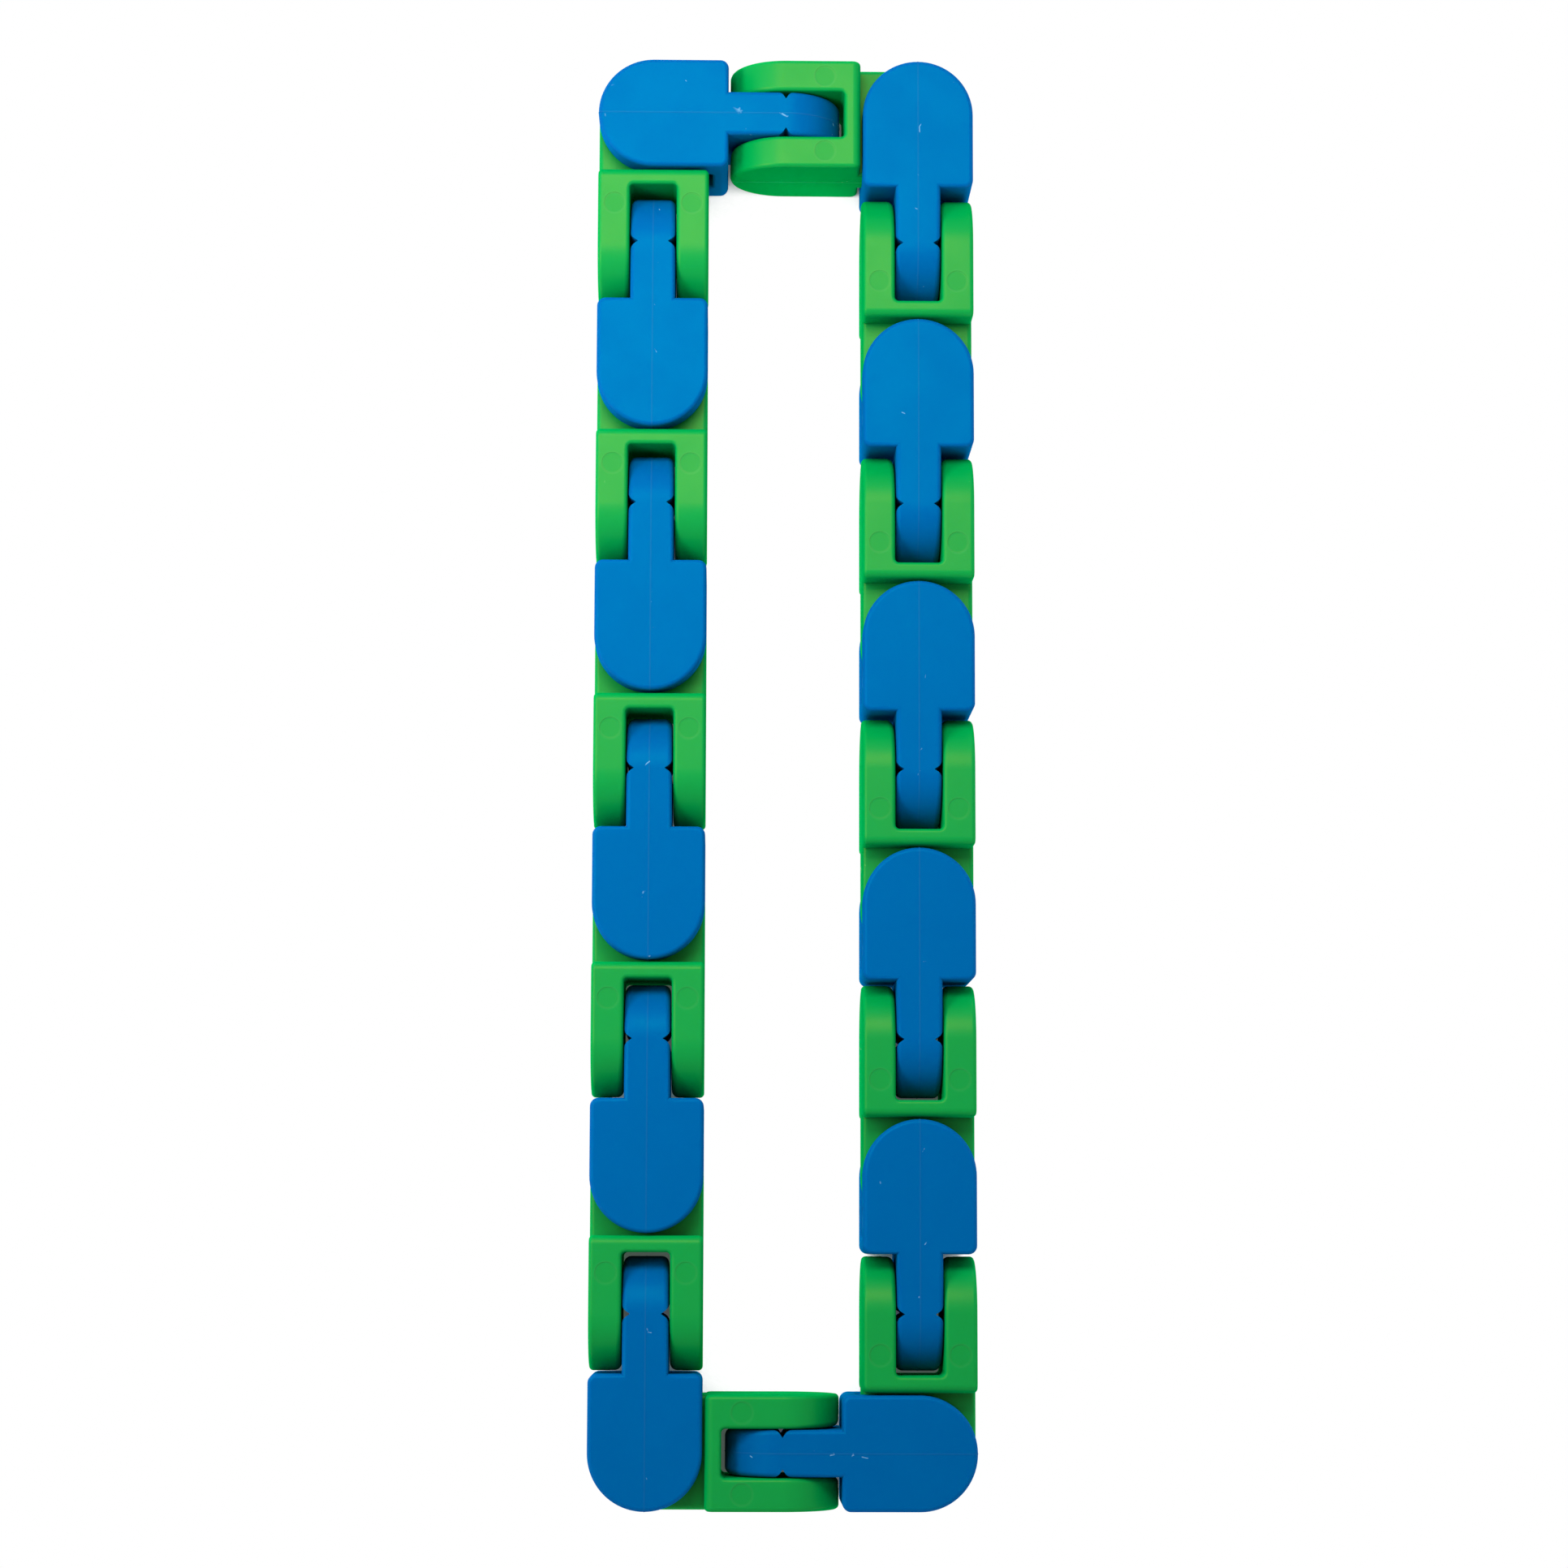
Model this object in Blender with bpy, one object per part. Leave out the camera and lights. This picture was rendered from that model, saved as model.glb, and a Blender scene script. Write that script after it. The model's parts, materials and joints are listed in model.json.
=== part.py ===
"""Twist-and-click chain puzzle: 24 moulded links hinged into a closed loop, lying flat as a long rectangle.

Every link is the same moulding. A fork at one end holds the next link's tongue, and the fork's pivot
is square to the tongue's pivot, so the chain bends up and down at one joint and sideways at the next.
Low round bosses on the tongue snap into blind sockets in the fork's ears, and a rib on each socket floor
clicks into the cross of grooves on the boss every quarter turn.

Frame: +Z up, the loop's long sides along Y, the origin at the middle of the loop on the surface it lies on.
"""

import math

import bmesh
import bpy
from mathutils import Matrix, Vector

MM = 0.001

# One link. Its tongue's pivot is at its own origin, and its fork's pivot is one pitch along +X.
PITCH = 14.4 * MM
WIDTH = 12.0 * MM
HALF = WIDTH / 2
SHOULDER_X = 6.25 * MM  # where the tongue ends and the full width begins
SHOULDER_CORNER_R = 0.9 * MM
EDGE = 0.4 * MM  # bevel along every outer edge

TONGUE_THICKNESS = 4.8 * MM
TONGUE_ROOT_X = SHOULDER_X + 0.8 * MM  # the tongue's own solid ends inside the link's bridge

SLOT_WIDTH = 5.2 * MM
SLOT_DEPTH = 6.4 * MM  # from the fork's pivot to the slot's closed end
SLOT_CORNER_R = 0.4 * MM

# Snap pivot
BOSS_R = 2.6 * MM
BOSS_HEIGHT = 0.75 * MM
SOCKET_R = 2.75 * MM
SOCKET_DEPTH = 0.8 * MM
GROOVE_WIDTH = 1.15 * MM
GROOVE_DEPTH = 0.65 * MM
CROSS_GROOVE_LENGTH = 6.6 * MM
RIB_LENGTH = 4.2 * MM
RIB_WIDTH = 0.7 * MM
RIB_HEIGHT = 0.18 * MM

# The loop: its sides in pitches, corner pivot to corner pivot, and the link that stays still
LONG_SIDE = 10
SHORT_SIDE = 2
LINKS = 2 * (LONG_SIDE + SHORT_SIDE)
ROOT = LONG_SIDE + 1  # the green link of the short side at +Y

ROUND_END_STEPS = 10
PIVOT_STEPS = 12
CORNER_STEPS = 2
OVERRUN = 1.0 * MM  # how far a cutter runs past what it cuts
WELD = 0.002 * MM

BLUE = (0.0, 0.12, 0.43, 1.0)
GREEN = (0.0, 0.42, 0.08, 1.0)
PLASTIC_ROUGHNESS = 0.38

# Quarter and half turns with exact entries, so that faces meant to be level with each other are
TO_Y = Matrix(((1, 0, 0, 0), (0, 0, -1, 0), (0, 1, 0, 0), (0, 0, 0, 1)))  # a prism along Z lies along Y
TO_X = Matrix(((0, 0, 1, 0), (0, 1, 0, 0), (-1, 0, 0, 0), (0, 0, 0, 1)))  # a prism along Z lies along X
CYCLE = Matrix(((0, 0, 1, 0), (1, 0, 0, 0), (0, 1, 0, 0), (0, 0, 0, 1)))  # X, Y, Z become Y, Z, X
HALF_TURN_X = Matrix.Diagonal((1, -1, -1, 1))
HALF_TURN_Z = Matrix.Diagonal((-1, -1, 1, 1))


def clear_scene():
    for obj in list(bpy.data.objects):
        bpy.data.objects.remove(obj, do_unlink=True)


def plastic(name, color):
    material = bpy.data.materials.new(name)
    material.use_nodes = True
    shader = material.node_tree.nodes["Principled BSDF"]
    shader.inputs["Base Color"].default_value = color
    shader.inputs["Roughness"].default_value = PLASTIC_ROUGHNESS
    shader.inputs["Metallic"].default_value = 0.0
    material.diffuse_color = color
    return material


def arc(centre_x, centre_y, radius, start_degrees, end_degrees, steps):
    """Points along an arc, both ends included."""
    points = []
    for i in range(steps + 1):
        angle = math.radians(start_degrees + (end_degrees - start_degrees) * i / steps)
        points.append((centre_x + radius * math.cos(angle), centre_y + radius * math.sin(angle)))
    return points


def circle_outline(radius):
    return arc(0, 0, radius, 0, 360, PIVOT_STEPS)[:-1]


def fork_outline():
    """Seen along the fork's pivot: a flat shoulder with small corners, and a round end about the pivot."""
    near = SHOULDER_X + SHOULDER_CORNER_R
    side = HALF - SHOULDER_CORNER_R
    points = arc(PITCH, 0, HALF, -90, 90, ROUND_END_STEPS)
    points += arc(near, side, SHOULDER_CORNER_R, 90, 180, CORNER_STEPS)
    points += arc(near, -side, SHOULDER_CORNER_R, 180, 270, CORNER_STEPS)
    return points


def tongue_outline():
    """Seen along the tongue's pivot: a round end about the pivot, and a straight run into the bridge."""
    return arc(0, 0, HALF, 90, 270, ROUND_END_STEPS) + [(TONGUE_ROOT_X, -HALF), (TONGUE_ROOT_X, HALF)]


def slot_outline():
    """Seen from the link's side: the slot between the ears, open past the round end."""
    half = SLOT_WIDTH / 2
    open_x = PITCH + HALF + OVERRUN
    near = PITCH - SLOT_DEPTH + SLOT_CORNER_R
    side = half - SLOT_CORNER_R
    points = [(open_x, -half), (open_x, half)]
    points += arc(near, side, SLOT_CORNER_R, 90, 180, CORNER_STEPS)
    points += arc(near, -side, SLOT_CORNER_R, 180, 270, CORNER_STEPS)
    return points


def groove_outline():
    """Across a groove, y = 0 at the tongue's face: a V that runs a little above it, then straight walls."""
    wall_foot = GROOVE_DEPTH / 4
    half = GROOVE_WIDTH / 2 * (GROOVE_DEPTH + wall_foot) / GROOVE_DEPTH
    top = BOSS_HEIGHT + OVERRUN
    return [(-half, top), (-half, wall_foot), (0, -GROOVE_DEPTH), (half, wall_foot), (half, top)]


def rib_outline():
    """Across a click rib, y = 0 at the socket's floor: a low ridge, with its foot sunk into the floor."""
    half = RIB_WIDTH / 2
    return [(-half, 0), (-half, -RIB_HEIGHT), (half, -RIB_HEIGHT), (half, 0), (0, RIB_HEIGHT)]


def prism(name, outline, length, placement=Matrix.Identity(4)):
    """An object made of an outline in XY, drawn out along Z to both sides of z = 0, then placed."""
    bm = bmesh.new()
    face = bm.faces.new([bm.verts.new((x, y, -length / 2)) for x, y in outline])
    grown = bmesh.ops.extrude_face_region(bm, geom=[face])
    top = [v for v in grown["geom"] if isinstance(v, bmesh.types.BMVert)]
    bmesh.ops.translate(bm, verts=top, vec=(0, 0, length))
    bmesh.ops.recalc_face_normals(bm, faces=bm.faces)
    bm.transform(placement)
    mesh = bpy.data.meshes.new(name)
    bm.to_mesh(mesh)
    bm.free()
    obj = bpy.data.objects.new(name, mesh)
    bpy.context.scene.collection.objects.link(obj)
    return obj


def combine(target, tools, operation):
    """Joins the tool objects to the target, or cuts them from it, and removes them."""
    for tool in tools:
        modifier = target.modifiers.new(tool.name, "BOOLEAN")
        modifier.operation = operation
        modifier.solver = "EXACT"
        modifier.object = tool
    bpy.context.view_layer.update()
    evaluated = target.evaluated_get(bpy.context.evaluated_depsgraph_get())
    result = bpy.data.meshes.new_from_object(evaluated)
    target.modifiers.clear()
    target.data = result
    for tool in tools:
        bpy.data.objects.remove(tool, do_unlink=True)


def bevel_rims(obj):
    """Takes the sharpness off every right-angled rim."""
    bm = bmesh.new()
    bm.from_mesh(obj.data)
    sharp = [e for e in bm.edges if e.calc_face_angle() > math.radians(80)]
    bmesh.ops.bevel(bm, geom=sharp, offset=EDGE, segments=1, profile=0.5, affect="EDGES")
    bm.to_mesh(obj.data)
    bm.free()


def fork():
    """The bridge and the two ears, with a blind socket and its click rib inside each ear."""
    obj = prism("fork", fork_outline(), WIDTH)
    bevel_rims(obj)
    combine(obj, [prism("slot", slot_outline(), WIDTH + 2 * OVERRUN, TO_Y)], "DIFFERENCE")
    bevel_rims(obj)
    floor = SLOT_WIDTH / 2 + SOCKET_DEPTH
    to_pivot = Matrix.Translation((PITCH, 0, 0))
    combine(obj, [prism("sockets", circle_outline(SOCKET_R), 2 * floor, to_pivot)], "DIFFERENCE")
    for turn in (Matrix.Identity(4), HALF_TURN_X):
        to_ear = turn @ Matrix.Translation((0, 0, -floor))
        combine(obj, [prism("rib", rib_outline(), RIB_LENGTH, to_pivot @ to_ear @ CYCLE)], "UNION")
    return obj


def tongue():
    """The round-ended slab, with a boss on each face, cut by grooves in a cross."""
    obj = prism("tongue", tongue_outline(), TONGUE_THICKNESS, TO_Y)
    bevel_rims(obj)
    bosses = prism("bosses", circle_outline(BOSS_R), TONGUE_THICKNESS + 2 * BOSS_HEIGHT, TO_Y)
    combine(obj, [bosses], "UNION")
    for turn in (Matrix.Identity(4), HALF_TURN_Z):
        to_face = turn @ Matrix.Translation((0, TONGUE_THICKNESS / 2, 0))
        upright = prism("upright_groove", groove_outline(), WIDTH + 2 * OVERRUN, to_face)
        level = prism("level_groove", groove_outline(), CROSS_GROOVE_LENGTH, to_face @ TO_X)
        combine(obj, [upright, level], "DIFFERENCE")
    return obj


def link_mesh(material):
    """One whole link in one plastic: fork and tongue in a single moulding."""
    obj = fork()
    combine(obj, [tongue()], "UNION")
    mesh = obj.data
    bpy.data.objects.remove(obj, do_unlink=True)
    bm = bmesh.new()
    bm.from_mesh(mesh)
    bmesh.ops.remove_doubles(bm, verts=bm.verts, dist=WELD)
    bm.to_mesh(mesh)
    bm.free()
    mesh.name = "link_" + material.name
    mesh.materials.clear()
    mesh.materials.append(material)
    mesh.shade_smooth()
    mesh.set_sharp_from_angle(angle=math.radians(30))
    return mesh


def pivot_position(number):
    """Where a pivot stands. Pivot 0 is the corner at -X -Y, and they run clockwise, a pitch apart."""
    x, y = SHORT_SIDE / 2, LONG_SIDE / 2
    number %= LINKS
    if number <= LONG_SIDE:
        x, y = -x, number - y
    elif number <= LONG_SIDE + SHORT_SIDE:
        x = number - LONG_SIDE - x
    elif number <= 2 * LONG_SIDE + SHORT_SIDE:
        y = y - (number - LONG_SIDE - SHORT_SIDE)
    else:
        x, y = x - (number - 2 * LONG_SIDE - SHORT_SIDE), -y
    return Vector((x * PITCH, y * PITCH, HALF))


def link_placement(number):
    """Link n runs from pivot n, in its fork, to pivot n + 1, through its tongue. Odd links lie on their sides."""
    tongue_pivot = pivot_position(number + 1)
    along = (pivot_position(number) - tongue_pivot).normalized()
    side = Vector((0, 0, 1)).cross(along)
    turn = Matrix((along, side, (0, 0, 1))).transposed().to_4x4()
    roll = Matrix.Rotation(math.radians(90 * (number % 2)), 4, "X")
    return Matrix.Translation(tongue_pivot) @ turn @ roll


def place(obj, placement):
    obj.location = placement.to_translation()
    obj.rotation_euler = placement.to_euler()


def main():
    clear_scene()
    colors = [("blue", plastic("blue_plastic", BLUE)), ("green", plastic("green_plastic", GREEN))]
    meshes = [link_mesh(material) for _, material in colors]
    links = []
    for number in range(LINKS):
        color = colors[number % 2][0]
        obj = bpy.data.objects.new(f"link_{number + 1:02d}_{color}", meshes[number % 2])
        bpy.context.scene.collection.objects.link(obj)
        links.append(obj)
    # the chain hangs from the root link both ways, and each link turns about the pivot it shares with
    # the link before it. Pivot 0, between the first link and the last, is left open.
    links[ROOT].matrix_world = link_placement(ROOT)
    down_left = [(n, n + 1, n + 1) for n in range(ROOT - 1, -1, -1)]
    down_right = [(n, n - 1, n) for n in range(ROOT + 1, LINKS)]
    bpy.context.view_layer.update()
    for number, parent, pivot in down_left + down_right:
        hinge = bpy.data.objects.new(f"pivot_{pivot:02d}", None)
        hinge.empty_display_size = HALF
        bpy.context.scene.collection.objects.link(hinge)
        hinge.parent = links[parent]
        hinge.matrix_parent_inverse = link_placement(parent).inverted()
        hinge.location = pivot_position(pivot)
        links[number].parent = hinge
        links[number].matrix_parent_inverse = Matrix.Translation(-pivot_position(pivot))
        place(links[number], link_placement(number))
    bpy.context.view_layer.update()


main()
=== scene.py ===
"""The looks of the twist-and-click chain puzzle: 24 moulded links, blue and green in turn, in a closed loop.

Every link is one moulding, rebuilt here with rounded rims, rounded V grooves, ejector marks and the fine
ridge of the mould's parting line. It stands for its plain CAD node and rides on that node's body.
"""

import json
import math

import bmesh
import bpy
from mathutils import Matrix, Vector

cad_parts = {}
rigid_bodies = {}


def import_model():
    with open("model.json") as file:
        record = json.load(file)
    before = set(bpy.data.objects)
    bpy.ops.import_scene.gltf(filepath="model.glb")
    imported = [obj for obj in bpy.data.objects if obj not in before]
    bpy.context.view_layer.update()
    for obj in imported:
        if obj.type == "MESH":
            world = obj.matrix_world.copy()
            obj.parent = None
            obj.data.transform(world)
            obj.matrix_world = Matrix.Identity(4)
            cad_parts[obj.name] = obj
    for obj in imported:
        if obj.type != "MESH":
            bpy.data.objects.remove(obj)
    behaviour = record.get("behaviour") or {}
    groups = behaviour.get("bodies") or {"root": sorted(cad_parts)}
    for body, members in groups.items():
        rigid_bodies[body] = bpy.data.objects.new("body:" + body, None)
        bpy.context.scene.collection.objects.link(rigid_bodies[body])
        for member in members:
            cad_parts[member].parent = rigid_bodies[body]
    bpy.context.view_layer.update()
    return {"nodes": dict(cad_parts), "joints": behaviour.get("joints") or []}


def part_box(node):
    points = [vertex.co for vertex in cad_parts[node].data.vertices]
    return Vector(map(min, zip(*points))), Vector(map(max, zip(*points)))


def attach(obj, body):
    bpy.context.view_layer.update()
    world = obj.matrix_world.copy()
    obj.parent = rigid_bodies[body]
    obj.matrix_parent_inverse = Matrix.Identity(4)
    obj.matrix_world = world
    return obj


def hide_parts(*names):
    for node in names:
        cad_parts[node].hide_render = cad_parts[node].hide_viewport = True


MM = 0.001

# One link. Its tongue's pivot is at its own origin, its fork's pivot one pitch along +X. Its outer sizes are
# the CAD's. The tongue's gap to each ear is 0.125 mm where the CAD leaves 0.2 mm, and the sockets and grooves
# are up to 0.13 mm deeper than the CAD's.
PITCH = 14.4 * MM
WIDTH = 12.0 * MM
HALF = WIDTH / 2
SHOULDER_X = 6.25 * MM
SHOULDER_CORNER_R = 0.9 * MM
TONGUE_THICKNESS = 4.85 * MM
TONGUE_ROOT_X = SHOULDER_X + 0.8 * MM
SLOT_WIDTH = 5.1 * MM
SLOT_DEPTH = 6.4 * MM
SLOT_CORNER_R = 0.45 * MM

# Snap pivot
BOSS_R = 2.6 * MM
BOSS_HEIGHT = 0.75 * MM
SOCKET_R = 2.75 * MM
SOCKET_DEPTH = 0.85 * MM
GROOVE_WIDTH = 1.15 * MM
GROOVE_DEPTH = 0.78 * MM
GROOVE_FLOOR = 0.06 * MM  # the width of the V's blunt bottom
GROOVE_LIP = 0.48 * MM  # how far the rounding of a groove's lip reaches along the tongue's face
LIP_START = 12  # degrees, the slope at which the lip leaves the face
CROSS_GROOVE_LENGTH = 6.6 * MM
RIB_LENGTH = 4.2 * MM
RIB_WIDTH = 0.7 * MM
RIB_HEIGHT = 0.18 * MM

# Rounding of the rims
RIM_R = 0.46 * MM
SLOT_RIM_R = 0.42 * MM
SLOT_TIP_R = 0.8 * MM  # at the tips of the ears, where the slot opens
TONGUE_RIM_R = 0.5 * MM
NOSE_RIM_R = 0.8 * MM  # at the tip of the tongue's round end, which leads it into the slot

# What the mould and wear leave on the plastic: shapes
MARK_R = 1.15 * MM
MARK_DEPTH = 0.05 * MM
MARK_X = SHOULDER_X + 3.9 * MM
MARK_Z = 4.2 * MM
MARK_LIP = 0.22 * MM
MARK_RELIEF = 0.012 * MM
RIDGE_HEIGHT = 0.025 * MM
RIDGE_WIDTH = 0.09 * MM
RIDGE_START = 0.3 * MM  # how far it starts on the solid side of the slot's end
# the width of the painted highlight along the parting line's ridge
SEAM_HIGHLIGHT_WIDTH = 0.12 * MM
CLOUD_SIZE = 5 * MM
CLOUD_RELIEF = 0.03 * MM
GRAIN_SIZE = 0.28 * MM
GRAIN_RELIEF = 0.004 * MM
NICK_WEB = 3.5 * MM
NICK_WIDTH = 0.08 * MM
NICK_DEPTH = 0.01 * MM
NICK_REACH = 1.2 * MM
BATCH = "batch"  # each link's own number, which sets its clouds, grain and nicks apart

# The same, as colour and gloss, along with painted highlights. A share is how far a colour goes over to the
# deep or the pale one.
ROUGHNESS = 0.38
CLOUD_ROUGHNESS = 0.03
MARK_ROUGHNESS = 0.05
CLOUD_LOW = 0.3  # the noise values between which the clouds thicken
CLOUD_HIGH = 0.7
CLOUD_SHARE = 0.35
MARK_SHARE = 0.3
# painted highlight: how far the marks' lips go over to the pale colour
LIP_HIGHLIGHT_SHARE = 0.02
# painted highlight: how far the parting line goes over to the pale colour
SEAM_HIGHLIGHT_SHARE = 0.015
NICK_SHARE = 0.55
NICK_LOW = 0.72  # the noise values between which a hairline becomes a nick
NICK_HIGH = 0.77
NICK_CROWDING = 0.1  # what is added to the noise at the parting line
FACING_BLEND = 0.5
FULL_GLOSS_FACING = 0.08  # 0 is face on, 1 is edge on
NO_GLOSS_FACING = 0.45
TRANSLUCENCE = 0.4
TRANSLUCENCE_DEPTH = 1.2 * MM

# How finely shapes are made
ROUND_END_STEPS = 40
PIVOT_STEPS = 48
CORNER_STEPS = 6
LIP_STEPS = 5
RIM_SEGMENTS = 5
OVERRUN = 1.0 * MM  # how far a cutting shape sticks out of what it cuts
WELD = 0.002 * MM
SHARP = math.radians(38)
RIM_TURN = math.radians(60)  # edges that turn by more than this are rims
RIM_WEIGHT = "bevel_weight_edge"

# Table, light and camera
TABLE_REACH = 3
TABLE_GLOW = 0.8
# painted shade: the table's dimmed glow where links cover it, dark grey in the slots
COVERED_SHADE_GLOW = 0.06
COVERED_SKY = 0.1  # the share of open sky at which the table counts as covered
OPEN_SKY = 0.4  # and the share at which it counts as open
SURROUNDINGS_LIGHT = 0.41
CAMERA_TARGET = (0.07 * MM, -0.95 * MM, 6 * MM)
CAMERA_AZIMUTH = -8.07
CAMERA_ELEVATION = 82.78
CAMERA_ROLL = 8.28
CAMERA_DISTANCE = 0.4
CAMERA_VIEW_ANGLE = 23.93

# Quarter and half turns with exact entries, so that faces meant to be level with each other are
TO_Y = Matrix(((1, 0, 0, 0), (0, 0, -1, 0), (0, 1, 0, 0), (0, 0, 0, 1)))
TO_X = Matrix(((0, 0, 1, 0), (0, 1, 0, 0), (-1, 0, 0, 0), (0, 0, 0, 1)))
CYCLE = Matrix(((0, 0, 1, 0), (1, 0, 0, 0), (0, 1, 0, 0), (0, 0, 0, 1)))
HALF_TURN_X = Matrix.Diagonal((1, -1, -1, 1))
HALF_TURN_Z = Matrix.Diagonal((-1, -1, 1, 1))


def arc(centre_x, centre_y, radius, start_degrees, end_degrees, steps):
    """Points along an arc, both ends included."""
    points = []
    for i in range(steps + 1):
        angle = math.radians(start_degrees + (end_degrees - start_degrees) * i / steps)
        points.append((centre_x + radius * math.cos(angle), centre_y + radius * math.sin(angle)))
    return points


def circle_outline(radius):
    return arc(0, 0, radius, 0, 360, PIVOT_STEPS)[:-1]


def fork_outline():
    """Seen along the fork's pivot: a flat shoulder with small corners, and a round end about the pivot."""
    near = SHOULDER_X + SHOULDER_CORNER_R
    side = HALF - SHOULDER_CORNER_R
    points = arc(PITCH, 0, HALF, -90, 90, ROUND_END_STEPS)
    points += arc(near, side, SHOULDER_CORNER_R, 90, 180, CORNER_STEPS)
    points += arc(near, -side, SHOULDER_CORNER_R, 180, 270, CORNER_STEPS)
    return points


def slot_outline():
    """Seen from the link's side: the slot between the ears, open past the round end."""
    half = SLOT_WIDTH / 2
    open_x = PITCH + HALF + OVERRUN
    near = PITCH - SLOT_DEPTH + SLOT_CORNER_R
    side = half - SLOT_CORNER_R
    points = [(open_x, -half), (open_x, half)]
    points += arc(near, side, SLOT_CORNER_R, 90, 180, CORNER_STEPS)
    points += arc(near, -side, SLOT_CORNER_R, 180, 270, CORNER_STEPS)
    return points


def groove_outline():
    """Across a groove, y = 0 at the tongue's face: a blunt V whose lips curve over into the face."""
    slope = math.degrees(math.atan2(GROOVE_DEPTH, GROOVE_WIDTH / 2))
    lip_r = GROOVE_LIP / math.tan(math.radians(slope / 2))
    lip_x = GROOVE_WIDTH / 2 + GROOVE_LIP
    lip = arc(lip_x, -lip_r, lip_r, 90 + LIP_START, 90 + slope, LIP_STEPS)
    start_x, start_y = lip[0]
    clear = GROOVE_DEPTH / 4
    run = (clear - start_y) / math.tan(math.radians(LIP_START))
    right = [(start_x + run, BOSS_HEIGHT + OVERRUN), (start_x + run, clear)] + lip
    right.append((GROOVE_FLOOR / 2, -GROOVE_DEPTH))
    return [(-x, y) for x, y in right] + right[::-1]


def rib_outline():
    """Across a click rib, y = 0 at the socket's floor: a low ridge, with its foot sunk into the floor."""
    half = RIB_WIDTH / 2
    return [(-half, 0), (-half, -RIB_HEIGHT), (half, -RIB_HEIGHT), (half, 0), (0, RIB_HEIGHT)]


def ridge_outline():
    """The parting line's ridge, seen along Y: it stands a hair proud of the tongue's edge and the ears."""
    proud = HALF + RIDGE_HEIGHT
    end_x = PITCH + proud
    corner = HALF - RIM_R
    inner = SLOT_WIDTH / 2 + 3 * SLOT_RIM_R
    buried_x = PITCH + HALF - RIM_R
    bridge_x = PITCH - SLOT_DEPTH - RIDGE_START
    upper = [(bridge_x, inner), (buried_x, inner), (end_x, inner)]
    upper += arc(PITCH + corner, corner, RIM_R + RIDGE_HEIGHT, 0, 90, CORNER_STEPS)
    lower = [(x, -z) for x, z in upper[::-1]]
    return upper + arc(0, 0, proud, 90, 270, ROUND_END_STEPS) + lower


def new_object(name, bm):
    """An object of its own from the bmesh, which is used up."""
    mesh = bpy.data.meshes.new(name)
    bm.to_mesh(mesh)
    bm.free()
    obj = bpy.data.objects.new(name, mesh)
    bpy.context.scene.collection.objects.link(obj)
    return obj


def prism(name, outline, length, placement=Matrix.Identity(4)):
    """An object made of an outline in XY, drawn out along Z to both sides of z = 0, then placed."""
    bm = bmesh.new()
    face = bm.faces.new([bm.verts.new((x, y, -length / 2)) for x, y in outline])
    grown = bmesh.ops.extrude_face_region(bm, geom=[face])
    top = [v for v in grown["geom"] if isinstance(v, bmesh.types.BMVert)]
    bmesh.ops.translate(bm, verts=top, vec=(0, 0, length))
    bmesh.ops.recalc_face_normals(bm, faces=bm.faces)
    bm.transform(placement)
    return new_object(name, bm)


def tongue_edge():
    """Points round the tongue's slab, in XZ, each with the direction in degrees that faces out there."""
    points = [(TONGUE_ROOT_X, HALF, 90)]
    for i in range(ROUND_END_STEPS + 1):
        degrees = 90 + 180 * i / ROUND_END_STEPS
        angle = math.radians(degrees)
        points.append((HALF * math.cos(angle), HALF * math.sin(angle), degrees))
    points.append((TONGUE_ROOT_X, -HALF, 270))
    return points


def tongue_slab():
    """The tongue's slab along X, round about its pivot. Its rims are fullest at the tip of the round end."""
    ring_count = 2 * (RIM_SEGMENTS + 1)
    bm = bmesh.new()
    rings = [[] for _ in range(ring_count)]
    for x, z, degrees in tongue_edge():
        out_x = math.cos(math.radians(degrees))
        out_z = math.sin(math.radians(degrees))
        radius = TONGUE_RIM_R + (NOSE_RIM_R - TONGUE_RIM_R) * out_x**2
        for k in range(ring_count):
            side = 1 if k <= RIM_SEGMENTS else -1
            step = k if side > 0 else ring_count - 1 - k
            turn = math.radians(90 * step / RIM_SEGMENTS)
            inset = radius * (1 - math.sin(turn))
            y = side * (TONGUE_THICKNESS / 2 - radius * (1 - math.cos(turn)))
            rings[k].append(bm.verts.new((x - inset * out_x, y, z - inset * out_z)))
    for first, second in zip(rings, rings[1:]):
        for i in range(len(first)):
            j = (i + 1) % len(first)
            bm.faces.new((first[i], first[j], second[j], second[i]))
    bm.faces.new(rings[0])
    bm.faces.new(rings[-1])
    bmesh.ops.recalc_face_normals(bm, faces=bm.faces)
    return new_object("tongue", bm)


def applied(obj):
    """The object's mesh with its modifiers in it."""
    bpy.context.view_layer.update()
    evaluated = obj.evaluated_get(bpy.context.evaluated_depsgraph_get())
    return bpy.data.meshes.new_from_object(evaluated)


def combine(target, tools, operation):
    """Joins the tool objects to the target, or cuts them from it, and removes them."""
    for tool in tools:
        modifier = target.modifiers.new(tool.name, "BOOLEAN")
        modifier.operation = operation
        modifier.solver = "EXACT"
        modifier.object = tool
    result = applied(target)
    target.modifiers.clear()
    target.data = result
    for tool in tools:
        bpy.data.objects.remove(tool, do_unlink=True)


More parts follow.
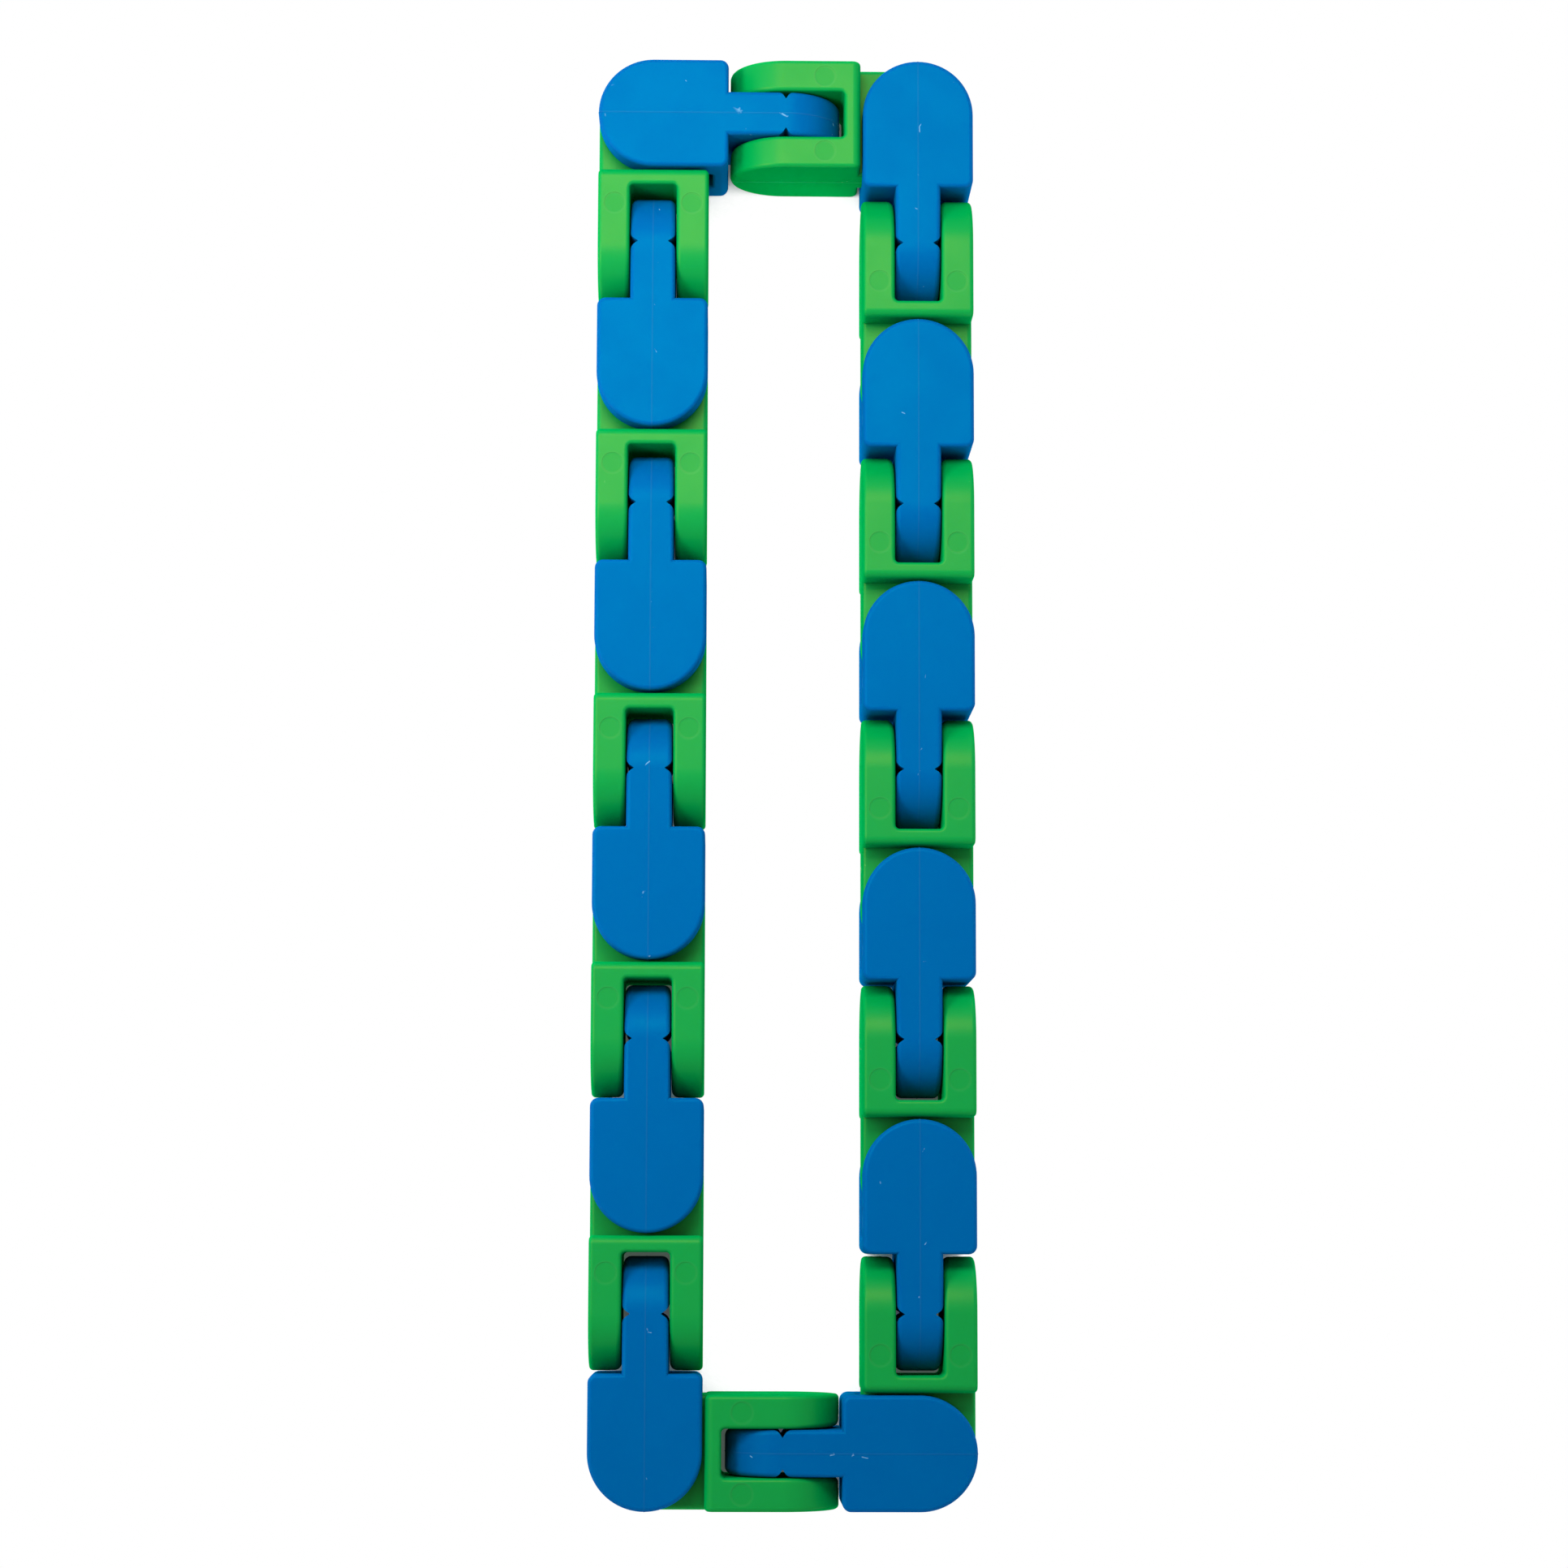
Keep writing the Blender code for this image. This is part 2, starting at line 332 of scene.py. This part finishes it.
def round_rims(obj, radius, tip_radius):
    """Rounds every sharp edge, with a radius that grows round the fork's end to its value at the tip."""
    bm = bmesh.new()
    bm.from_mesh(obj.data)
    layers = bm.edges.layers.float
    weight = layers.get(RIM_WEIGHT) or layers.new(RIM_WEIGHT)
    for edge in bm.edges:
        edge[weight] = 0
        if edge.calc_face_angle() > RIM_TURN:
            middle = (edge.verts[0].co + edge.verts[1].co) / 2
            reach = max(0, (middle.x - PITCH) / HALF) ** 2
            edge[weight] = (radius + (tip_radius - radius) * reach) / tip_radius
    bm.to_mesh(obj.data)
    bm.free()
    modifier = obj.modifiers.new("rims", "BEVEL")
    modifier.limit_method = "WEIGHT"
    modifier.width = tip_radius
    modifier.segments = RIM_SEGMENTS
    modifier.use_clamp_overlap = False
    rounded = applied(obj)
    obj.modifiers.clear()
    obj.data = rounded


def fork():
    """The bridge and the two ears, with a blind socket and its click rib inside each ear."""
    obj = prism("fork", fork_outline(), WIDTH)
    round_rims(obj, RIM_R, RIM_R)
    combine(obj, [prism("slot", slot_outline(), WIDTH + 2 * OVERRUN, TO_Y)], "DIFFERENCE")
    round_rims(obj, SLOT_RIM_R, SLOT_TIP_R)
    floor = SLOT_WIDTH / 2 + SOCKET_DEPTH
    to_pivot = Matrix.Translation((PITCH, 0, 0))
    combine(obj, [prism("sockets", circle_outline(SOCKET_R), 2 * floor, to_pivot)], "DIFFERENCE")
    for turn in (Matrix.Identity(4), HALF_TURN_X):
        to_ear = turn @ Matrix.Translation((0, 0, -floor))
        combine(obj, [prism("rib", rib_outline(), RIB_LENGTH, to_pivot @ to_ear @ CYCLE)], "UNION")
    for z in (-MARK_Z, MARK_Z):
        to_mark = Matrix.Translation((MARK_X, HALF, z)) @ TO_Y
        combine(obj, [prism("mark", circle_outline(MARK_R), 2 * MARK_DEPTH, to_mark)], "DIFFERENCE")
    return obj


def tongue():
    """The round-ended slab, with a boss on each face, cut by grooves in a cross."""
    obj = tongue_slab()
    bosses = prism("bosses", circle_outline(BOSS_R), TONGUE_THICKNESS + 2 * BOSS_HEIGHT, TO_Y)
    combine(obj, [bosses], "UNION")
    for turn in (Matrix.Identity(4), HALF_TURN_Z):
        to_face = turn @ Matrix.Translation((0, TONGUE_THICKNESS / 2, 0))
        upright = prism("upright_groove", groove_outline(), WIDTH + 2 * OVERRUN, to_face)
        level = prism("level_groove", groove_outline(), CROSS_GROOVE_LENGTH, to_face @ TO_X)
        combine(obj, [upright, level], "DIFFERENCE")
    return obj


def link_mesh(material):
    """One whole link in one plastic, with normals that keep its flats flat and its rims round."""
    obj = fork()
    combine(obj, [tongue()], "UNION")
    combine(obj, [prism("ridge", ridge_outline(), RIDGE_WIDTH, TO_Y)], "UNION")
    bm = bmesh.new()
    bm.from_mesh(obj.data)
    bmesh.ops.remove_doubles(bm, verts=bm.verts, dist=WELD)
    bm.to_mesh(obj.data)
    bm.free()
    obj.data.shade_smooth()
    obj.data.set_sharp_from_angle(angle=SHARP)
    modifier = obj.modifiers.new("flat faces", "WEIGHTED_NORMAL")
    modifier.keep_sharp = True
    mesh = applied(obj)
    bpy.data.objects.remove(obj, do_unlink=True)
    mesh.name = "link_" + material.name
    mesh.materials.clear()
    mesh.materials.append(material)
    return mesh


class Look:
    """A material built up node by node. An input is given a plain value or another node's output."""

    def __init__(self, name):
        self.material = bpy.data.materials.new(name)
        self.material.use_nodes = True
        self.shader = self.material.node_tree.nodes["Principled BSDF"]

    def feed(self, socket, value):
        if isinstance(value, bpy.types.NodeSocket):
            self.material.node_tree.links.new(value, socket)
        else:
            socket.default_value = value

    def shade(self, **values):
        for key, value in values.items():
            self.feed(self.shader.inputs[key.replace("_", " ")], value)

    def node(self, kind, values, **settings):
        """A new node. The values go to its inputs in order, past those that its settings switch off."""
        node = self.material.node_tree.nodes.new(kind)
        for key, value in settings.items():
            setattr(node, key, value)
        for socket, value in zip([s for s in node.inputs if s.enabled], values):
            self.feed(socket, value)
        return next(s for s in node.outputs if s.enabled)

    def maths(self, operation, *values):
        return self.node("ShaderNodeMath", values, operation=operation)

    def ramp(self, value, low, high, at_low=0.0, at_high=1.0):
        """Runs smoothly from at_low to at_high while the value runs from low to high."""
        values = (value, low, high, at_low, at_high)
        return self.node("ShaderNodeMapRange", values, interpolation_type="SMOOTHSTEP")

    def mix(self, factor, first, second):
        return self.node("ShaderNodeMix", (factor, first, second), data_type="RGBA")

    def noise(self, place, batch, size, detail):
        """Lumps of about the given size, valued about 0.5, that differ from link to link."""
        return self.node("ShaderNodeTexNoise", (place, batch, 1 / size, detail), noise_dimensions="4D")


def moulded_plastic(name, color, deep, pale_for_nicks_and_highlights, gloss, gloss_tint, light_reach):
    """Satin plastic, coloured through: cloudy, fine-grained, with ejector marks, a parting line and nicks.

    Its deep colour fills the clouds and the marks. Its pale one fills the nicks, and paints highlights on the
    marks' lips and along the parting line. Red, green and blue light reach into it by different amounts.
    """
    look = Look(name)
    place = look.node("ShaderNodeTexCoord", ()).node.outputs["Object"]
    batch = look.node("ShaderNodeAttribute", (), attribute_type="OBJECT", attribute_name=BATCH)
    batch = batch.node.outputs["Fac"]
    x, y, z = look.node("ShaderNodeSeparateXYZ", (place,)).node.outputs
    clouds = look.noise(place, batch, CLOUD_SIZE, 3)
    grain = look.noise(place, batch, GRAIN_SIZE, 2)

    # the two round ejector marks on one flank, seen from the side: distance from the nearer centre
    from_mark_x = look.maths("SUBTRACT", x, MARK_X)
    from_mark_z = look.maths("SUBTRACT", look.maths("ABSOLUTE", z), MARK_Z)
    squares = look.maths("ADD", look.maths("POWER", from_mark_x, 2), look.maths("POWER", from_mark_z, 2))
    reach = look.maths("SQRT", squares)
    on_flank = look.ramp(y, HALF - RIM_R, HALF - RIM_R / 2)
    in_mark = look.maths("MULTIPLY", on_flank, look.ramp(reach, MARK_R - MARK_LIP, MARK_R, 1, 0))
    # painted highlight: a pale ring on each mark's lip, where its edge would catch the light
    from_lip = look.maths("ABSOLUTE", look.maths("SUBTRACT", reach, MARK_R))
    lip_highlight = look.maths("MULTIPLY", on_flank, look.ramp(from_lip, 0, MARK_LIP, 1, 0))

    # nicks: short broken stretches of a web of hairlines, most of them near the parting line
    from_seam = look.maths("ABSOLUTE", y)
    near_seam = look.ramp(from_seam, 0, NICK_REACH, 1, 0)
    cells = {"voronoi_dimensions": "4D", "feature": "DISTANCE_TO_EDGE"}
    web = look.node("ShaderNodeTexVoronoi", (place, batch, 1 / NICK_WEB), **cells)
    hairline = look.ramp(web, 0, NICK_WIDTH / NICK_WEB, 1, 0)
    patches = look.noise(place, batch, NICK_WEB / 3, 2)
    patches = look.maths("ADD", patches, look.maths("MULTIPLY", near_seam, NICK_CROWDING))
    nicks = look.maths("MULTIPLY", hairline, look.ramp(patches, NICK_LOW, NICK_HIGH))
    # painted highlight: a pale line along the parting line's ridge
    seam_highlight = look.ramp(from_seam, SEAM_HIGHLIGHT_WIDTH / 2, SEAM_HIGHLIGHT_WIDTH, 1, 0)

    mottled = look.mix(look.ramp(clouds, CLOUD_LOW, CLOUD_HIGH, 0, CLOUD_SHARE), color, deep)
    marked = look.mix(look.maths("MULTIPLY", in_mark, MARK_SHARE), mottled, deep)
    # painted highlights: a pale line along the parting line and pale rings on the marks' lips
    seam_highlight_share = look.maths("MULTIPLY", seam_highlight, SEAM_HIGHLIGHT_SHARE)
    lip_highlight_share = look.maths("MULTIPLY", lip_highlight, LIP_HIGHLIGHT_SHARE)
    highlighted = look.mix(look.maths("ADD", seam_highlight_share, lip_highlight_share), marked, pale_for_nicks_and_highlights)
    nicked = look.mix(look.maths("MULTIPLY", nicks, NICK_SHARE), highlighted, pale_for_nicks_and_highlights)

    smoothest = ROUGHNESS - CLOUD_ROUGHNESS
    roughest = ROUGHNESS + CLOUD_ROUGHNESS
    rough = look.ramp(clouds, CLOUD_LOW, CLOUD_HIGH, smoothest, roughest)
    rough = look.maths("ADD", rough, look.maths("MULTIPLY", in_mark, MARK_ROUGHNESS))

    relief = look.maths("MULTIPLY", clouds, CLOUD_RELIEF)
    relief = look.maths("ADD", relief, look.maths("MULTIPLY", grain, GRAIN_RELIEF))
    relief = look.maths("SUBTRACT", relief, look.maths("MULTIPLY", in_mark, MARK_RELIEF))
    relief = look.maths("SUBTRACT", relief, look.maths("MULTIPLY", nicks, NICK_DEPTH))
    bumps = look.node("ShaderNodeBump", (1.0, 1.0))
    look.feed(bumps.node.inputs["Height"], relief)

    look.shade(Base_Color=nicked, Roughness=rough, Normal=bumps)
    look.shade(Subsurface_Weight=TRANSLUCENCE, Subsurface_Radius=light_reach)
    look.shade(Subsurface_Scale=TRANSLUCENCE_DEPTH)

    # full gloss face on, none at a grazing angle; the plain value stands where the ramp isn't followed
    look.shade(Specular_IOR_Level=gloss, Specular_Tint=gloss_tint)
    facing = look.node("ShaderNodeLayerWeight", (FACING_BLEND,)).node.outputs["Facing"]
    look.shade(Specular_IOR_Level=look.ramp(facing, FULL_GLOSS_FACING, NO_GLOSS_FACING, gloss, 0))
    return look.material


def pivot_between(first, second):
    """Where two links are hinged to each other, or None for the pivot that is left open."""
    for joint in frame["joints"]:
        if {joint["parent"], joint["child"]} == {first, second}:
            return Vector(joint["pos_m"])
    return None


def link_placement(number):
    """Link n runs from its fork's pivot to its tongue's pivot, which it shares with link n + 1."""
    name = link_names[number]
    low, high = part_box(name)
    after = pivot_between(name, link_names[(number + 1) % len(link_names)])
    before = pivot_between(name, link_names[number - 1])
    tongue_pivot = after or low + high - before
    fork_pivot = before or low + high - after
    along = (fork_pivot - tongue_pivot).normalized()
    side = Vector((0, 0, 1)).cross(along)
    turn = Matrix((along, side, (0, 0, 1))).transposed().to_4x4()
    roll = Matrix.Rotation(math.radians(90 * (number % 2)), 4, "X")
    return Matrix.Translation(tongue_pivot) @ turn @ roll


def softbox(name, location, target, width, height, power):
    """A white rectangular light that faces the target."""
    light = bpy.data.lights.new(name, "AREA")
    light.shape = "RECTANGLE"
    light.size = width
    light.size_y = height
    light.energy = power
    obj = bpy.data.objects.new(name, light)
    bpy.context.scene.collection.objects.link(obj)
    obj.location = location
    line = Vector(target) - Vector(location)
    obj.rotation_euler = line.to_track_quat("-Z", "Y").to_euler()


def add_camera(target, azimuth, elevation, roll, distance, view_angle):
    """A camera looking at the target. Angles are in degrees, and azimuth 0 stands at -Y.

    The roll turns it about its own line of sight.
    """
    azimuth, elevation, roll = (math.radians(x) for x in (azimuth, elevation, roll))
    back = Vector((
        math.sin(azimuth) * math.cos(elevation),
        -math.cos(azimuth) * math.cos(elevation),
        math.sin(elevation),
    ))
    level = Vector((math.cos(azimuth), math.sin(azimuth), 0))
    upright = back.cross(level)
    right = level * math.cos(roll) + upright * math.sin(roll)
    up = upright * math.cos(roll) - level * math.sin(roll)
    camera = bpy.data.objects.new("camera", bpy.data.cameras.new("camera"))
    bpy.context.scene.collection.objects.link(camera)
    turn = Matrix((right, up, back)).transposed().to_4x4()
    camera.matrix_world = Matrix.Translation(Vector(target) + back * distance) @ turn
    camera.data.lens = camera.data.sensor_width / 2 / math.tan(math.radians(view_angle) / 2)
    camera.data.clip_start = 0.01
    bpy.context.scene.camera = camera


def add_table():
    """A white table, lit from within except where links cover it.

    It is seen where links cover it. Elsewhere the white surroundings show in its place, so that it
    doesn't hide links that are folded down below its level.
    """
    look = Look("lit_table")
    sky = look.node("ShaderNodeAmbientOcclusion", ((1, 1, 1, 1), WIDTH)).node.outputs["AO"]
    uncovered = look.ramp(sky, COVERED_SKY, OPEN_SKY)
    seen = look.node("ShaderNodeLightPath", ()).node.outputs["Is Camera Ray"]
    look.shade(Base_Color=(0.85, 0.85, 0.85, 1), Roughness=0.9, Specular_IOR_Level=0.1)
    look.shade(Emission_Color=(1, 1, 1, 1))
    # painted shade: the glow fades where links cover the table
    look.shade(Emission_Strength=look.ramp(uncovered, 0, 1, COVERED_SHADE_GLOW, TABLE_GLOW))
    look.shade(Alpha=look.maths("SUBTRACT", 1, look.maths("MULTIPLY", seen, uncovered)))
    bm = bmesh.new()
    bmesh.ops.create_grid(bm, x_segments=1, y_segments=1, size=TABLE_REACH)
    table = new_object("table", bm)
    table.data.materials.append(look.material)
    table.location = (0, 0, -2 * RIDGE_HEIGHT)


def add_surroundings():
    """Soft even light from all round, seen as pure white."""
    world = bpy.data.worlds.new("studio")
    world.use_nodes = True
    nodes = world.node_tree.nodes
    seen = nodes.new("ShaderNodeLightPath").outputs["Is Camera Ray"]
    strength = nodes.new("ShaderNodeMapRange")
    strength.inputs["To Min"].default_value = SURROUNDINGS_LIGHT
    strength.inputs["To Max"].default_value = 1
    background = nodes["Background"]
    background.inputs["Color"].default_value = (1, 1, 1, 1)
    world.node_tree.links.new(seen, strength.inputs["Value"])
    world.node_tree.links.new(strength.outputs["Result"], background.inputs["Strength"])
    bpy.context.scene.world = world


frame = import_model()

link_names = sorted(frame["nodes"])
blue = moulded_plastic(
    "blue_plastic_look",
    color=(0.0, 0.125, 0.385, 1),
    deep=(0.0, 0.11, 0.36, 1),
    pale_for_nicks_and_highlights=(0.35, 0.65, 0.9, 1),
    gloss=0.18,
    gloss_tint=(0.0, 1.0, 0.8, 1),
    light_reach=(0.1, 0.5, 1.0),
)
green = moulded_plastic(
    "green_plastic_look",
    color=(0.0, 0.35, 0.068, 1),
    deep=(0.0, 0.325, 0.06, 1),
    pale_for_nicks_and_highlights=(0.5, 0.85, 0.4, 1),
    gloss=0.21,
    gloss_tint=(1.0, 0.8, 0.05, 1),
    light_reach=(0.1, 1.0, 0.4),
)
meshes = [link_mesh(blue), link_mesh(green)]
for number, name in enumerate(link_names):
    piece = bpy.data.objects.new(name + "_moulding", meshes[number % 2])
    bpy.context.scene.collection.objects.link(piece)
    piece.matrix_world = link_placement(number)
    piece[BATCH] = float(number)
    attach(piece, name)
    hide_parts(name)

add_table()
add_surroundings()
softbox("key", (-0.015, 0.115, 0.21), (-0.015, 0.1, 0), width=0.12, height=0.11, power=0.33)
softbox("left", (-0.12, 0.035, 0.15), (0, 0.02, 0), width=0.14, height=0.06, power=0.2)
add_camera(
    CAMERA_TARGET,
    CAMERA_AZIMUTH,
    CAMERA_ELEVATION,
    CAMERA_ROLL,
    CAMERA_DISTANCE,
    CAMERA_VIEW_ANGLE,
)
bpy.context.scene.view_settings.view_transform = "Standard"
